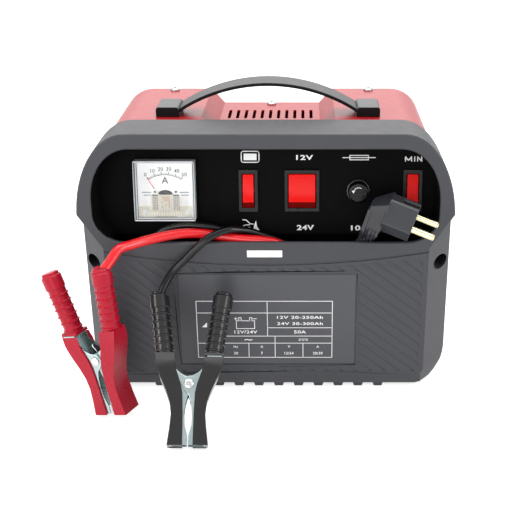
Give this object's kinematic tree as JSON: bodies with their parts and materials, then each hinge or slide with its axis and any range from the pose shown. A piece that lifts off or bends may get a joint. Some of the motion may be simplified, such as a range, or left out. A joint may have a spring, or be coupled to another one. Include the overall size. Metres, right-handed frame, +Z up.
{
  "type": "car battery charger",
  "caption": "Portable car battery charger: grey front frame with meter, rockers and fuse, red steel cover, strap handle, leads stowed in an open bin, red and black clamps.",
  "frame": {"origin": "middle of the case's footprint, on the plane that the feet stand on", "axes": "+Z up, -Y out of the control panel (front), +X to the right of someone facing the control panel"},
  "size_m": [0.2941, 0.2532, 0.2205],
  "materials": {
    "dark_grey_moulding": "fine-textured dark grey ABS moulding",
    "black_panel": "black moulded panel, satin",
    "black_moulding": "satin black moulding",
    "black_gloss_moulding": "semi-gloss black nylon",
    "red_sheet_steel": "folded sheet steel, smooth red powder coat",
    "dark_red_steel": "folded sheet steel, red powder coat",
    "zinc_plated_sheet": "zinc-plated sheet steel",
    "zinc_plated_jaws": "zinc-plated pressed steel jaws",
    "zinc_screws": "zinc-plated pan-head screws",
    "blackened_screws": "blackened self-tapping screws",
    "bright_spring_steel": "nickel-plated wire and rivets",
    "black_rubber": "matt black rubber",
    "handle_strap_vinyl": "dark grey flexible vinyl strap",
    "silicon_steel": "varnished stack of silicon steel sheets",
    "bobbin_nylon": "natural nylon",
    "enamelled_copper": "enamelled copper wire",
    "extruded_aluminium": "extruded aluminium",
    "diode_cans": "nickel-plated press-in diode cans",
    "red_wire_insulation": "red PVC insulation",
    "brass_movement": "brass and copper coil movement",
    "white_dial": "white-painted dial with black scale",
    "red_needle": "red-painted aluminium needle",
    "clear_lens": "clear polystyrene cover with a black front mask",
    "red_rocker": "glossy translucent red rocker",
    "fuse_glass_and_caps": "nickel-plated end caps on a glass body",
    "red_cable_sheath": "smooth red PVC cable sheath",
    "black_cable_sheath": "smooth black PVC cable sheath",
    "mains_cable_sheath": "black mains cable sheath",
    "plug_vinyl": "moulded black PVC plug",
    "plug_brass": "bright brass pins",
    "red_clamp_vinyl": "moulded red vinyl grip",
    "black_clamp_vinyl": "moulded black vinyl grip"
  },
  "bodies": {
    "housing": {"front_frame": "dark_grey_moulding", "frame_screws": "blackened_screws", "control_panel": "black_panel", "sheet_cover": "red_sheet_steel", "cover_screws": "zinc_screws", "base_plate": "zinc_plated_sheet", "rear_panel": "dark_red_steel", "rear_feet": "black_rubber", "handle_strap": "handle_strap_vinyl", "handle_blocks": "black_moulding", "handle_screws": "zinc_screws", "transformer_core": "silicon_steel", "winding_bobbin": "bobbin_nylon", "primary_winding": "enamelled_copper", "secondary_winding": "enamelled_copper", "transformer_bracket": "zinc_plated_sheet", "transformer_bolts": "zinc_screws", "rectifier_heatsink": "extruded_aluminium", "rectifier_diodes": "diode_cans", "thermal_cutout": "bobbin_nylon", "terminal_block": "bobbin_nylon", "inner_wires": "red_wire_insulation", "ammeter_case": "black_moulding", "ammeter_movement": "brass_movement", "ammeter_dial": "white_dial", "ammeter_lens": "clear_lens", "mode_switch_body": "black_gloss_moulding", "voltage_switch_body": "black_gloss_moulding", "current_switch_body": "black_gloss_moulding", "fuse_holder": "black_gloss_moulding", "mains_strain_relief": "black_rubber", "lead_grommets": "black_rubber", "red_lead": "red_cable_sheath", "red_coil": "red_cable_sheath", "black_lead": "black_cable_sheath", "black_coil": "black_cable_sheath", "mains_lead": "mains_cable_sheath", "mains_coil": "mains_cable_sheath", "plug_body": "plug_vinyl", "plug_pins": "plug_brass", "plug_earth_clips": "zinc_plated_sheet", "red_cable_grip": "red_clamp_vinyl", "red_cable_jaw": "zinc_plated_jaws", "red_spring": "bright_spring_steel", "red_rivet": "bright_spring_steel", "black_cable_grip": "black_clamp_vinyl", "black_cable_jaw": "zinc_plated_jaws", "black_spring": "bright_spring_steel", "black_rivet": "bright_spring_steel"},
    "ammeter_needle": {"ammeter_needle": "red_needle"},
    "mode_rocker": {"mode_switch_rocker": "red_rocker"},
    "voltage_rocker": {"voltage_switch_rocker": "red_rocker"},
    "current_rocker": {"current_switch_rocker": "red_rocker"},
    "fuse_carrier": {"fuse_link": "fuse_glass_and_caps"},
    "fuse_cap": {"fuse_knob": "black_gloss_moulding"},
    "red_free_lever": {"red_free_grip": "red_clamp_vinyl", "red_free_jaw": "zinc_plated_jaws"},
    "black_free_lever": {"black_free_grip": "black_clamp_vinyl", "black_free_jaw": "zinc_plated_jaws"}
  },
  "joints": [
    {"name": "needle_swing", "type": "hinge", "parent": "housing", "child": "ammeter_needle", "pos_m": [-0.0734, -0.05997, 0.1431], "axis": [0, 0.9903, -0.1392], "range_deg": [0, 66], "stiffness_Nm_per_rad": 0.00002},
    {"name": "mode_switch_rock", "type": "hinge", "parent": "housing", "child": "mode_rocker", "pos_m": [-0.0136, -0.05125, 0.15056], "axis": [1, 0, 0], "range_deg": [0, 22]},
    {"name": "voltage_switch_rock", "type": "hinge", "parent": "housing", "child": "voltage_rocker", "pos_m": [0.0256, -0.05125, 0.15056], "axis": [1, 0, 0], "range_deg": [0, 22]},
    {"name": "current_switch_rock", "type": "hinge", "parent": "housing", "child": "current_rocker", "pos_m": [0.1063, -0.05125, 0.15056], "axis": [1, 0, 0], "range_deg": [0, 22]},
    {"name": "fuse_pull", "type": "slide", "parent": "housing", "child": "fuse_carrier", "axis": [0, -0.9903, 0.1392], "range_m": [0, 0.045]},
    {"name": "fuse_cap_turn", "type": "hinge", "parent": "fuse_carrier", "child": "fuse_cap", "pos_m": [0.0666, -0.05067, 0.15038], "axis": [0, -0.9903, 0.1392], "range_deg": [0, 60]},
    {"name": "red_clamp_open", "type": "hinge", "parent": "housing", "child": "red_free_lever", "pos_m": [-0.1183, -0.1109, 0.0452], "axis": [0.4207, 0.9068, -0.0253], "range_deg": [0, 24], "stiffness_Nm_per_rad": 0.9, "springref_deg": -20.05, "deforming": ["red_spring"]},
    {"name": "black_clamp_open", "type": "hinge", "parent": "housing", "child": "black_free_lever", "pos_m": [-0.0527, -0.1386, 0.0384], "axis": [0.1103, -0.7338, 0.6703], "range_deg": [0, 24], "stiffness_Nm_per_rad": 0.9, "springref_deg": -20.05, "deforming": ["black_spring"]}
  ]
}
